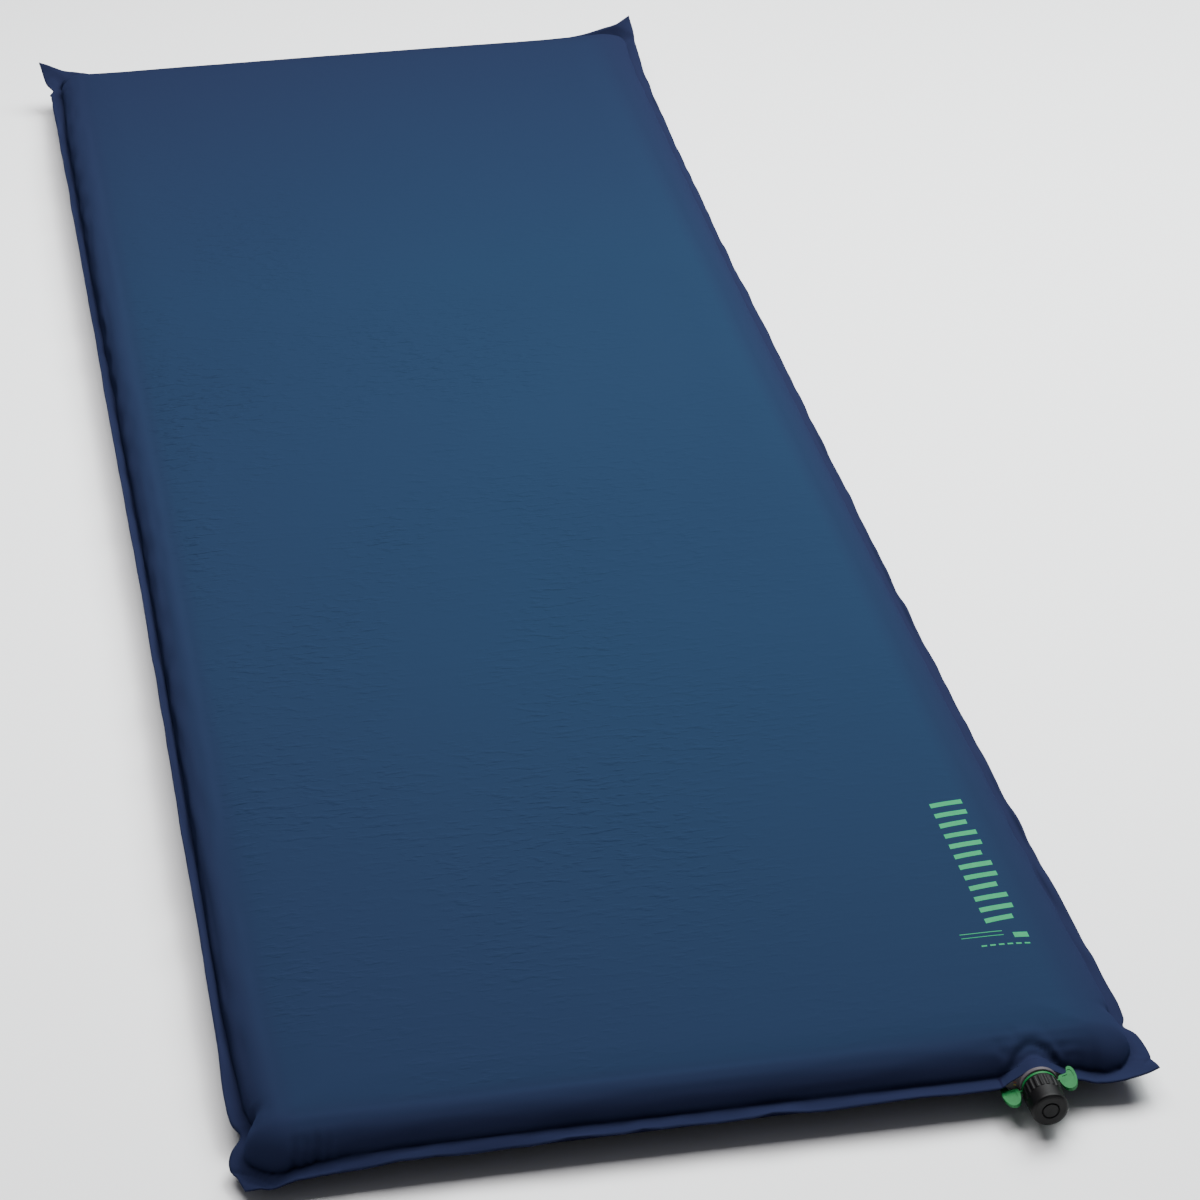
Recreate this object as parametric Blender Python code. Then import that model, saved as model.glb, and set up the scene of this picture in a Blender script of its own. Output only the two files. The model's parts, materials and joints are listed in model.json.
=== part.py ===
"""A self-inflating sleeping pad, 25 by 77 by 2 inches, with its twist valve.

The pad lies on its underside, centred on the origin, with the valve at the -Y end.
The valve is modelled in its own frame: z along the stem and out of the pad, x across the
pad, y up, and z = 0 at the outer face of the boot's rim.
"""

import math

import bmesh
import bpy
from mathutils import Matrix, Vector

# Pad
HALF_WIDTH = 0.3185  # to the edge of the welded border
HALF_LENGTH = 0.984
THICKNESS = 0.050
SEAM_HEIGHT = THICKNESS / 2
FABRIC = 0.0007  # a stand-in, since the real coated cloth is thinner
GAP = 0.0003  # between pieces that touch
FLANGE = 0.0125  # welded border, outside the air chamber
WALL_RUN = 0.0235  # horizontal run of the side wall's curve
WALL_STEPS = 4
CORNER = 0.044  # side of the square that each corner is made in
CORNER_STEPS = 6
EAR = 0.010  # how far a corner ear sticks out along the diagonal
BORDER_SQUARENESS = 0.9  # of the border's inner line at the corners, from round (0) to square (1)
WALL_SQUARENESS = 0.7  # of the wall's foot there
SIDE_POINTS = 7  # along each long side and the far end
LEFT_STATIONS = (-0.16, -0.05, 0.06, 0.14, 0.19)  # x positions along the valve end
ARCH_STATIONS = (0.0035, 0.007, 0.010, 0.013, 0.016, 0.020, 0.024, 0.029)  # each way from the valve
CUT_FULL = 0.021  # half width over which the border is trimmed back in full, at the valve
CUT_CLEAR = 0.029  # and where it is whole again
FOAM_MARGIN = 0.001  # from the wall's inner foot to the foam
FOAM_EDGE = 0.004
NOTCH_HALF_WIDTH = 0.020
NOTCH_DEPTH = 0.020

# Valve, where it stands and its common radii
VALVE_X = 0.243
VALVE_Y = -0.9855
SEGMENTS = 32
O_RING = 0.0004  # radius of an O-ring's cord
O_RING_GROOVE = 0.0012
GROOVE_PLAY = 0.0001  # between an O-ring's inner side and its groove's floor
CUT_PAST = 0.001  # how far a bore's cutter runs out past the faces it cuts

# Boot: neck, rim and the boat-shaped part that the sheets are welded to
NECK = 0.0125
BORE = 0.0106
BOOT_END = -0.027
RIM = 0.014
RIM_DEPTH = 0.003
BOAT_HALF_WIDTH = 0.024
BOAT_STATIONS = ((-0.027, 0.0), (-0.025, 0.05), (-0.021, 0.6), (-0.014, 1.0))

# Stem
STEM_END = -0.0215
STEM_TOP = 0.021
STEM_BORE = 0.0066
STEM_LOWER = 0.0084
STEM_UPPER = 0.010
SHOULDER = 0.0029
SEAT_BORE = 0.0048
SEAT_DEPTH = 0.0015
SPOKE_DEPTH = 0.003
SPOKE_HALF_WIDTH = 0.0009
SPOKES = 3
POST = 0.0025
PLUG = 0.0056
PLUG_DEPTH = 0.004
PLUG_SEAL_Z = 0.0282
LUG_Z = 0.013
LUG = 0.0011
LUG_REACH = 0.0111

# Toggle and the lifter that it drives
TOGGLE_TILT = math.radians(13)
TOGGLE_TURN = math.radians(45)
SLEEVE_BORE = 0.0087
SLEEVE = 0.0102
SLEEVE_END = -0.0102
TOGGLE_BASE = 0.0004
TOGGLE_TOP = 0.0026
TOGGLE_RING = 0.0128
TOGGLE_SEAL_Z = -0.003
STEM_SEAL_Z = -0.001
WING_ROOT = 0.0110  # inside the ring that the wings stand on
WING_HALF_THICKNESS = 0.0013
WING_MIDDLE = (0.0210, 0.0032)
WING_RECESS_SCALE = 0.72
WING_RECESS = 0.0004
PEG_Z = -0.0056
PEG = 0.0009
PEG_REACH = 0.0094
LIFT = 0.003
PUSH_ROD = 0.0012
LIFTER_WALL = 0.0011
LIFTER_HALF_HEIGHT = 0.0012

# Lock ring
LOCK_TOP = -0.0105
LOCK_END = -0.014
LOCK_OUTER = 0.0103
LOCK_SEAL_Z = -0.0122

# Flapper
PIN_Z = -0.0231
PIN_Y = 0.0076
PIN = 0.0005
PIN_HALF_LENGTH = 0.0036
KNUCKLE = 0.0010
EAR_INNER = 0.0022
EAR_OUTER = 0.0034
EAR_HALF_HEIGHT = 0.0012
FLAP = 0.0064
FLAP_THICKNESS = 0.0008
FLAP_ARM_OVERLAP = 0.0016  # how far the arm reaches in over the disc
PAD_DISC = 0.0058
PAD_THICKNESS = 0.0005

# Cap
CAP_BASE = 0.0030
CAP_TOP = 0.030
CAP_RADIUS = 0.0130
CAP_FLARE = 0.0134
CAP_BORE = 0.0104
CAP_HEAD_BORE = 0.0108
CAP_EDGE = 0.0006
CAP_ROUNDING = 0.0026
CAP_END_WALL = 0.0028
MOUTH = 0.0061
CAP_TURN = math.pi
CAP_RISE = 0.0045
TRACK = 0.0114
SEAL_Z = 0.016
SEAL_GROOVE = 0.0115
CAP_SEAL = 0.0006
RIBS = 22
RIB_HEIGHT = 0.0005
RIB_START = 0.0042
RIB_END = 0.0165


def clear_scene():
    for obj in list(bpy.data.objects):
        bpy.data.objects.remove(obj, do_unlink=True)


def material(name, colour, roughness, metallic=0.0):
    made = bpy.data.materials.new(name)
    made.use_nodes = True
    shader = made.node_tree.nodes["Principled BSDF"]
    shader.inputs["Base Color"].default_value = (*colour, 1.0)
    shader.inputs["Roughness"].default_value = roughness
    shader.inputs["Metallic"].default_value = metallic
    return made


def add_object(name, bm, finish=None, parent=None, sharp_angle=math.radians(35)):
    """Turn a bmesh into a named object whose faces point outwards."""
    bmesh.ops.recalc_face_normals(bm, faces=bm.faces)
    if bm.calc_volume(signed=True) < 0:
        bmesh.ops.reverse_faces(bm, faces=bm.faces)
    mesh = bpy.data.meshes.new(name)
    bm.to_mesh(mesh)
    bm.free()
    mesh.shade_smooth()
    mesh.set_sharp_from_angle(angle=sharp_angle)
    obj = bpy.data.objects.new(name, mesh)
    bpy.context.scene.collection.objects.link(obj)
    if finish:
        mesh.materials.append(finish)
    obj.parent = parent
    return obj


def combine(obj, tool, operation):
    """Cut a tool from an object, or join it on, with a Boolean modifier."""
    modifier = obj.modifiers.new(tool.name, "BOOLEAN")
    modifier.operation = operation
    modifier.solver = "EXACT"
    modifier.object = tool
    tool.hide_render = True
    tool.display_type = "WIRE"


def turned(profile, segments=SEGMENTS):
    """Spin a closed outline of (radius, z) points round the z axis."""
    bm = bmesh.new()
    verts = [bm.verts.new((radius, 0.0, z)) for radius, z in profile]
    edges = [bm.edges.new((verts[i - 1], verts[i])) for i in range(len(verts))]
    bmesh.ops.spin(
        bm, geom=verts + edges, axis=(0, 0, 1), cent=(0, 0, 0), angle=math.tau, steps=segments
    )
    bmesh.ops.remove_doubles(bm, verts=bm.verts, dist=1e-7)
    return bm


def rectangle(inner, outer, low, high):
    """The outline of a plain ring, for turning."""
    return [(inner, low), (outer, low), (outer, high), (inner, high)]


def groove(radius, z):
    """Points that cut an O-ring groove into a turned outline at one z, from below."""
    floor = radius - 2 * O_RING - GROOVE_PLAY
    half = O_RING_GROOVE / 2
    return [(radius, z - half), (floor, z - half), (floor, z + half), (radius, z + half)]


def rod(radius, start, end, segments=12):
    """A closed cylinder between two points."""
    start, end = Vector(start), Vector(end)
    bm = bmesh.new()
    bmesh.ops.create_cone(
        bm, cap_ends=True, segments=segments, radius1=radius, radius2=radius,
        depth=(end - start).length,
    )
    turn = (end - start).to_track_quat("Z", "Y").to_matrix().to_4x4()
    bm.transform(Matrix.Translation((start + end) / 2) @ turn)
    return bm


def box(low, high):
    bm = bmesh.new()
    low, high = Vector(low), Vector(high)
    bmesh.ops.create_cube(bm, size=1.0)
    bmesh.ops.scale(bm, vec=high - low, verts=bm.verts)
    bmesh.ops.translate(bm, vec=(low + high) / 2, verts=bm.verts)
    return bm


def spun_about_z(bm, angle):
    bm.transform(Matrix.Rotation(angle, 4, "Z"))
    return bm


def skin_rings(rings, closed_ends=True):
    """Join rings of points, each with the same count, with quads, and cap the two ends."""
    bm = bmesh.new()
    loops = [[bm.verts.new(point) for point in ring] for ring in rings]
    for low, high in zip(loops, loops[1:]):
        for i in range(len(low)):
            bm.faces.new((low[i - 1], low[i], high[i], high[i - 1]))
    if closed_ends:
        bm.faces.new(loops[0])
        bm.faces.new(loops[-1])
    return bm


def helical_bar(inner, outer, half_width, start, end, steps=12):
    """A bar of square section along a helix, from one (angle, z) to another, with spare ends."""
    spare = half_width / inner
    angle_step = (end[0] - start[0]) / steps
    angles = [start[0] + angle_step * i for i in range(steps + 1)]
    direction = math.copysign(1.0, end[0] - start[0])
    angles = [angles[0] - direction * spare] + angles + [angles[-1] + direction * spare]
    slope = (end[1] - start[1]) / (end[0] - start[0])
    rings = []
    for angle in angles:
        held = min(max(angle, min(start[0], end[0])), max(start[0], end[0]))
        z = start[1] + slope * (held - start[0])
        corners = ((inner, -half_width), (outer, -half_width), (outer, half_width), (inner, half_width))
        rings.append([
            (radius * math.cos(angle), radius * math.sin(angle), z + rise) for radius, rise in corners
        ])
    return skin_rings(rings)


# The pad: two welded sheets round a foam slab


def boat_height(offset, neck, half_width):
    """Half the height of the boat's section: a circle with a straight taper to each side tip."""
    offset = abs(offset)
    if offset >= half_width:
        return 0.0
    tangent = neck * neck / half_width
    if offset <= tangent:
        return math.sqrt(neck * neck - offset * offset)
    top = math.sqrt(neck * neck - tangent * tangent)
    return top * (half_width - offset) / (half_width - tangent)


def near_stations(reach):
    """X positions along the valve end, close together where the sheets arch over the boot."""
    before = [VALVE_X - x for x in reversed(ARCH_STATIONS)]
    after = [VALVE_X + x for x in ARCH_STATIONS]
    return [-reach, *LEFT_STATIONS, *before, VALVE_X, *after, reach]


def edge_cut(offset):
    """How far the border is trimmed back, so that the boot's rim and the toggle stand clear."""
    depth = HALF_LENGTH + VALVE_Y + RIM_DEPTH + 2 * GAP
    share = (CUT_CLEAR - abs(offset)) / (CUT_CLEAR - CUT_FULL)
    return depth * min(1.0, max(0.0, share))


def pad_ring(inset, square):
    """Points round the pad at one inset, anticlockwise, with corners round (0) to square (1)."""
    reach_x, reach_y = HALF_WIDTH - CORNER, HALF_LENGTH - CORNER
    even = [-1 + 2 * i / (SIDE_POINTS - 1) for i in range(1, SIDE_POINTS - 1)]
    points = []
    for x in near_stations(reach_x)[1:-1]:
        points.append((x, -HALF_LENGTH + max(inset, edge_cut(x - VALVE_X))))

    def corner(centre_x, centre_y, start):
        for step in range(CORNER_STEPS + 1):
            turn = math.pi / 2 * step / CORNER_STEPS
            widest = max(math.cos(turn), math.sin(turn))
            radius = (CORNER - inset) * (1 - square + square / widest)
            radius += EAR * square * math.sin(2 * turn) ** 4
            angle = start + turn
            points.append((centre_x + radius * math.cos(angle), centre_y + radius * math.sin(angle)))

    corner(reach_x, -reach_y, -math.pi / 2)
    points.extend((HALF_WIDTH - inset, reach_y * t) for t in even)
    corner(reach_x, reach_y, 0.0)
    points.extend((-reach_x * t, HALF_LENGTH - inset) for t in even)
    corner(-reach_x, reach_y, math.pi / 2)
    points.extend((inset - HALF_WIDTH, -reach_y * t) for t in even)
    corner(-reach_x, -reach_y, math.pi)
    return points


def sheet_profile(skin):
    """(inset, height above the seam, squareness) from the border's edge to the flat, skin inside."""
    start = GAP / 2 + FABRIC - skin
    profile = [(0.0, start, 1.0), (FLANGE, start, BORDER_SQUARENESS)]
    run, rise = WALL_RUN - skin, SEAM_HEIGHT - skin
    for step in range(1, WALL_STEPS + 1):
        turn = math.pi / 2 * step / WALL_STEPS
        inset = FLANGE + WALL_RUN - run * math.cos(turn)
        height = max(start, rise * math.sin(turn))
        profile.append((inset, height, WALL_SQUARENESS * (1 - step / WALL_STEPS)))
    return profile


def fabric_sheet(name, side, finish):
    """One sheet as a thin open shell: side is 1 for the top sheet and -1 for the bottom one.

    Its two skins are split into triangles along the same diagonals, so that they stay apart
    where the corners twist.
    """
    bm = bmesh.new()
    borders = []
    for skin in (0.0, FABRIC):
        neck = NECK + GAP + FABRIC - skin
        half_width = BOAT_HALF_WIDTH + 2 * (GAP + FABRIC - skin)
        rings = []
        for inset, height, square in sheet_profile(skin):
            ring = []
            for x, y in pad_ring(inset, square):
                arch = boat_height(x - VALVE_X, neck, half_width) if y < -HALF_LENGTH + WALL_RUN else 0.0
                ring.append(bm.verts.new((x, y, SEAM_HEIGHT + side * max(height, arch))))
            rings.append(ring)
        for low, high in zip(rings, rings[1:]):
            for i in range(len(low)):
                bm.faces.new((low[i - 1], low[i], high[i]))
                bm.faces.new((low[i - 1], high[i], high[i - 1]))
        centre = bm.verts.new((0, 0, SEAM_HEIGHT + side * (SEAM_HEIGHT - skin)))
        flat_rim = rings[-1]
        for i in range(len(flat_rim)):
            bm.faces.new((flat_rim[i - 1], flat_rim[i], centre))
        borders.append(rings[0])
    outer, inner = borders
    for i in range(len(outer)):
        bm.faces.new((outer[i - 1], outer[i], inner[i], inner[i - 1]))
    return add_object(name, bm, finish)


def foam_core(finish):
    half_x = HALF_WIDTH - FLANGE - WALL_RUN - FOAM_MARGIN
    half_y = HALF_LENGTH - FLANGE - WALL_RUN - FOAM_MARGIN
    notch_y = -half_y + NOTCH_DEPTH
    outline = [
        (-half_x, -half_y), (VALVE_X - NOTCH_HALF_WIDTH, -half_y), (VALVE_X - NOTCH_HALF_WIDTH, notch_y),
        (VALVE_X + NOTCH_HALF_WIDTH, notch_y), (VALVE_X + NOTCH_HALF_WIDTH, -half_y), (half_x, -half_y),
        (half_x, half_y), (-half_x, half_y),
    ]
    low = FABRIC + GAP
    high = THICKNESS - FABRIC - GAP
    bm = skin_rings([[(x, y, z) for x, y in outline] for z in (low, high)])
    obj = add_object("foam_core", bm, finish)
    bevel = obj.modifiers.new("eased edges", "BEVEL")
    bevel.width = FOAM_EDGE
    bevel.segments = 2
    bevel.limit_method = "ANGLE"
    return obj


# The valve


def boat_ring(z, neck, half_width, segments):
    """A boat section at one z, with points at even angles round the axis."""
    ring = []
    widest = math.acos(min(1.0, neck / half_width))
    for i in range(segments):
        angle = math.tau * i / segments
        fold = min(angle % math.pi, math.pi - angle % math.pi)
        radius = neck / math.cos(widest - fold) if fold < widest else neck
        ring.append((radius * math.cos(angle), radius * math.sin(angle), z))
    return ring


def circle(radius, z, segments):
    return [
        (radius * math.cos(math.tau * i / segments), radius * math.sin(math.tau * i / segments), z)
        for i in range(segments)
    ]


def valve_boot(parent, finish):
    """Neck, rim and the boat-shaped part that the sheets are welded to, in one soft moulding."""
    segments = 3 * SEGMENTS // 2
    rim_foot = -RIM_DEPTH
    rings = [circle(BORE, BOOT_END, segments)]
    for z, share in BOAT_STATIONS:
        half_width = NECK + (BOAT_HALF_WIDTH - NECK) * share
        rings.append(boat_ring(z, NECK, half_width, segments))
    rings.append(boat_ring(rim_foot - GAP, NECK, BOAT_HALF_WIDTH, segments))
    rings.append(circle(RIM, rim_foot, segments))
    rings.append(circle(RIM, -GAP, segments))
    rings.append(circle(RIM - GAP, 0.0, segments))
    rings.append(circle(BORE, 0.0, segments))
    rings.append(rings[0])
    bm = skin_rings(rings, closed_ends=False)
    bmesh.ops.remove_doubles(bm, verts=bm.verts, dist=1e-7)
    return add_object("valve_boot", bm, finish, parent)


def valve_stem(parent, finish):
    """Tube with a shoulder, a flapper seat, spokes with the mouth plug, lugs and helical slots."""
    outline = [(SEAT_BORE, STEM_END), (STEM_LOWER, STEM_END)]
    outline += groove(STEM_LOWER, STEM_SEAL_Z)
    outline += [
        (STEM_LOWER, SHOULDER), (STEM_UPPER, SHOULDER), (STEM_UPPER, STEM_TOP), (STEM_BORE, STEM_TOP),
        (STEM_BORE, STEM_END + SEAT_DEPTH), (SEAT_BORE, STEM_END + SEAT_DEPTH),
    ]
    stem = add_object("valve_stem", turned(outline), finish, parent)
    plug_foot = CAP_TOP - PLUG_DEPTH
    outline = [(0.0, STEM_TOP - SPOKE_DEPTH), (POST, STEM_TOP - SPOKE_DEPTH), (POST, plug_foot - PLUG / 4)]
    outline += [(PLUG, plug_foot)] + groove(PLUG, PLUG_SEAL_Z)
    outline += [(PLUG, CAP_TOP - GAP), (PLUG - GAP, CAP_TOP), (0.0, CAP_TOP)]
    plug = add_object("stem_plug", turned(outline), parent=parent)
    for spoke in range(SPOKES):
        bar = box((POST / 2, -SPOKE_HALF_WIDTH, STEM_TOP - SPOKE_DEPTH + GAP),
                  (STEM_BORE + 2 * GAP, SPOKE_HALF_WIDTH, STEM_TOP - GAP))
        arm = add_object(f"stem_spoke_{spoke}", spun_about_z(bar, math.tau * spoke / SPOKES), parent=parent)
        combine(stem, arm, "UNION")
    combine(stem, plug, "UNION")
    for side in (-1, 1):
        lug = rod(LUG, (0, side * (STEM_UPPER - 2 * GAP), LUG_Z), (0, side * LUG_REACH, LUG_Z))
        combine(stem, add_object(f"stem_lug_{side + 1}", lug, parent=parent), "UNION")
        angle = TOGGLE_TILT if side > 0 else TOGGLE_TILT + math.pi
        slot = helical_bar(STEM_BORE - GAP, STEM_LOWER + GAP, PEG + GAP,
                           (angle, PEG_Z), (angle + TOGGLE_TURN, PEG_Z - LIFT))
        combine(stem, add_object(f"stem_slot_{side + 1}", slot, parent=parent), "DIFFERENCE")
        left, right = sorted((EAR_INNER * side, EAR_OUTER * side))
        ear = box((left, PIN_Y - EAR_HALF_HEIGHT, PIN_Z - EAR_HALF_HEIGHT),
                  (right, PIN_Y + EAR_HALF_HEIGHT, STEM_END + 2 * GAP))
        combine(stem, add_object(f"stem_ear_{side + 1}", ear, parent=parent), "UNION")
    hole = rod(PIN + GAP / 2, (-2 * EAR_OUTER, PIN_Y, PIN_Z), (2 * EAR_OUTER, PIN_Y, PIN_Z))
    combine(stem, add_object("stem_pin_hole", hole, parent=parent), "DIFFERENCE")
    return stem


def wing_outline():
    """One wing in plan, (out from the axis, along it): the tip is broad and reaches back over the seam."""
    side = RIM + 0.0006
    return [
        (WING_ROOT, TOGGLE_BASE + GAP), (side, TOGGLE_BASE + GAP), (side, -0.0012), (0.0158, -0.0025),
        (0.0196, -0.0027), (0.0211, -0.0034), (0.0217, -0.0062), (0.0224, -0.0088), (0.0240, -0.0097),
        (0.0256, -0.0085), (0.0266, -0.0058), (0.0270, -0.0020), (0.0269, 0.0030), (0.0262, 0.0075),
        (0.0247, 0.0115), (0.0226, 0.0140), (0.0202, 0.0147), (0.0180, 0.0137), (0.0163, 0.0112),
        (0.0151, 0.0078), (side, 0.0040), (side, TOGGLE_TOP - GAP), (WING_ROOT, TOGGLE_TOP - GAP),
    ]


def plate(outline, low, high, side):
    """A flat plate between two heights, with its plan outline pointing along +x or -x."""
    bm = skin_rings([[(x, y, z) for x, z in outline] for y in (low, high)])
    return spun_about_z(bm, TOGGLE_TILT if side > 0 else TOGGLE_TILT + math.pi)


def wing_toggle(parent, finish):
    outline = [(SLEEVE_BORE, SLEEVE_END), (SLEEVE, SLEEVE_END)] + groove(SLEEVE, TOGGLE_SEAL_Z)
    outline += [
        (SLEEVE, TOGGLE_BASE), (TOGGLE_RING, TOGGLE_BASE), (TOGGLE_RING, TOGGLE_TOP),
        (SLEEVE_BORE, TOGGLE_TOP),
    ]
    toggle = add_object("wing_toggle", spun_about_z(turned(outline), TOGGLE_TILT), finish, parent)
    for side in (-1, 1):
        name = "right" if side > 0 else "left"
        outline = wing_outline()
        blade = plate(outline, -WING_HALF_THICKNESS, WING_HALF_THICKNESS, side)
        combine(toggle, add_object(f"toggle_wing_{name}", blade, parent=parent), "UNION")
        middle_x, middle_z = WING_MIDDLE
        shrunk = [
            (middle_x + WING_RECESS_SCALE * (x - middle_x), middle_z + WING_RECESS_SCALE * (z - middle_z))
            for x, z in outline if x > RIM + 2 * GAP
        ]
        floor = WING_HALF_THICKNESS - WING_RECESS
        for face in (-1, 1):
            low, high = sorted((face * floor, face * (WING_HALF_THICKNESS + GAP)))
            recess = plate(shrunk, low, high, side)
            tool = add_object(f"toggle_recess_{name}_{face + 1}", recess, parent=parent)
            combine(toggle, tool, "DIFFERENCE")
        reach = (side * (SLEEVE_BORE - 3 * GAP), side * (PEG_REACH + GAP))
        slot = box((min(reach), -PEG - GAP, SLEEVE_END - GAP), (max(reach), PEG + GAP, PEG_Z + PEG + GAP))
        keyway = add_object(f"toggle_keyway_{name}", spun_about_z(slot, TOGGLE_TILT), parent=parent)
        combine(toggle, keyway, "DIFFERENCE")
    return toggle


def lifter(parent, finish):
    """Ring with a cross bar whose ends are the pegs, and a rod that pushes the flapper."""
    outer = STEM_BORE - GAP
    low, high = PEG_Z - LIFTER_HALF_HEIGHT, PEG_Z + LIFTER_HALF_HEIGHT
    ring = turned(rectangle(outer - LIFTER_WALL, outer, low, high))
    body = add_object("lifter", spun_about_z(ring, TOGGLE_TILT), finish, parent)
    bar = spun_about_z(rod(PEG, (-PEG_REACH, 0, PEG_Z), (PEG_REACH, 0, PEG_Z)), TOGGLE_TILT)
    combine(body, add_object("lifter_bar", bar, parent=parent), "UNION")
    push = rod(PUSH_ROD, (0, 0, PEG_Z), (0, 0, STEM_END + GAP))
    combine(body, add_object("lifter_rod", push, parent=parent), "UNION")
    return body


def flapper(parent, finish):
    face = STEM_END - 2 * GAP - PAD_THICKNESS
    disc = turned([(0.0, face - FLAP_THICKNESS), (FLAP, face - FLAP_THICKNESS), (FLAP, face), (0.0, face)])
    flap = add_object("flapper", disc, finish, parent)
    arm = box((-EAR_INNER + GAP, FLAP - FLAP_ARM_OVERLAP, face - FLAP_THICKNESS + GAP / 2),
              (EAR_INNER - GAP, PIN_Y, face - GAP / 2))
    combine(flap, add_object("flapper_arm", arm, parent=parent), "UNION")
    knuckle = rod(KNUCKLE, (-EAR_INNER + GAP, PIN_Y, PIN_Z), (EAR_INNER - GAP, PIN_Y, PIN_Z))
    combine(flap, add_object("flapper_knuckle", knuckle, parent=parent), "UNION")
    hole = rod(PIN + GAP / 2, (-EAR_OUTER, PIN_Y, PIN_Z), (EAR_OUTER, PIN_Y, PIN_Z))
    combine(flap, add_object("flapper_pin_hole", hole, parent=parent), "DIFFERENCE")
    return flap


def flapper_pad(parent, finish):
    low = STEM_END - GAP - PAD_THICKNESS
    profile = [(0.0, low), (PAD_DISC, low), (PAD_DISC, low + PAD_THICKNESS), (0.0, low + PAD_THICKNESS)]
    return add_object("flapper_pad", turned(profile), finish, parent)


def cap_radius(z):
    """Outside radius of the cap, which flares slightly towards its end."""
    return CAP_RADIUS + (CAP_FLARE - CAP_RADIUS) * (z - CAP_BASE) / (CAP_TOP - CAP_BASE)


def cap_ring(z, rib_height=0.0, inset=0.0):
    """One ring of the cap's outside, with every other stretch raised where there are ribs."""
    count = 4 * RIBS
    ring = []
    for i in range(count):
        radius = cap_radius(z) - inset + (rib_height if i % 4 < 2 else 0.0)
        angle = math.tau * i / count
        ring.append((radius * math.cos(angle), radius * math.sin(angle), z))
    return ring


def valve_cap(parent, finish):
    """Ribbed cap with a mouth in its end, and two helical tracks inside for the stem's lugs."""
    rings = [cap_ring(CAP_BASE, inset=CAP_EDGE), cap_ring(CAP_BASE + CAP_EDGE), cap_ring(RIB_START)]
    rings += [cap_ring(RIB_START + CAP_EDGE, RIB_HEIGHT), cap_ring(RIB_END - CAP_EDGE, RIB_HEIGHT)]
    rings.append(cap_ring(RIB_END))
    rounding_steps = 3
    for step in range(rounding_steps + 1):
        turn = math.pi / 2 * step / rounding_steps
        z = CAP_TOP - CAP_ROUNDING * (1 - math.sin(turn))
        rings.append(cap_ring(z, inset=CAP_ROUNDING * (1 - math.cos(turn))))
    cap = add_object("valve_cap", skin_rings(rings), finish, parent, math.radians(30))
    head = CAP_TOP - CAP_END_WALL
    seal_half = CAP_SEAL + GAP
    bore = turned([
        (0.0, CAP_BASE - CUT_PAST), (CAP_BORE, CAP_BASE - CUT_PAST), (CAP_BORE, SEAL_Z - seal_half),
        (SEAL_GROOVE, SEAL_Z - seal_half), (SEAL_GROOVE, SEAL_Z + seal_half), (CAP_BORE, SEAL_Z + seal_half),
        (CAP_BORE, STEM_TOP - 4 * GAP), (CAP_HEAD_BORE, STEM_TOP - GAP), (CAP_HEAD_BORE, head),
        (MOUTH, head), (MOUTH, CAP_TOP - CAP_EDGE), (MOUTH + CAP_EDGE, CAP_TOP),
        (MOUTH + CAP_EDGE, CAP_TOP + CUT_PAST), (0.0, CAP_TOP + CUT_PAST),
    ])
    combine(cap, add_object("cap_bore", bore, parent=parent), "DIFFERENCE")
    for start in (math.pi / 2, -math.pi / 2):
        track = helical_bar(CAP_BORE - 2 * GAP, TRACK, LUG + GAP,
                            (start, LUG_Z), (start - CAP_TURN, LUG_Z - CAP_RISE), steps=18)
        name = "upper" if start > 0 else "lower"
        combine(cap, add_object(f"cap_track_{name}", track, parent=parent), "DIFFERENCE")
    return cap


def o_ring(name, parent, finish, radius, z, cord=O_RING):
    """An O-ring of one centre radius, in the plane at z."""
    sides = 6
    step = math.tau / sides
    outline = [(radius + cord * math.cos(step * i), z + cord * math.sin(step * i)) for i in range(sides)]
    return add_object(name, turned(outline, 24), finish, parent, math.radians(80))


def stem_lock_ring(parent, finish):
    outline = [(STEM_LOWER + GAP, LOCK_END), (LOCK_OUTER, LOCK_END)] + groove(LOCK_OUTER, LOCK_SEAL_Z)
    outline += [(LOCK_OUTER, LOCK_TOP), (STEM_LOWER + GAP, LOCK_TOP)]
    return add_object("stem_lock_ring", turned(outline), finish, parent)


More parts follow.
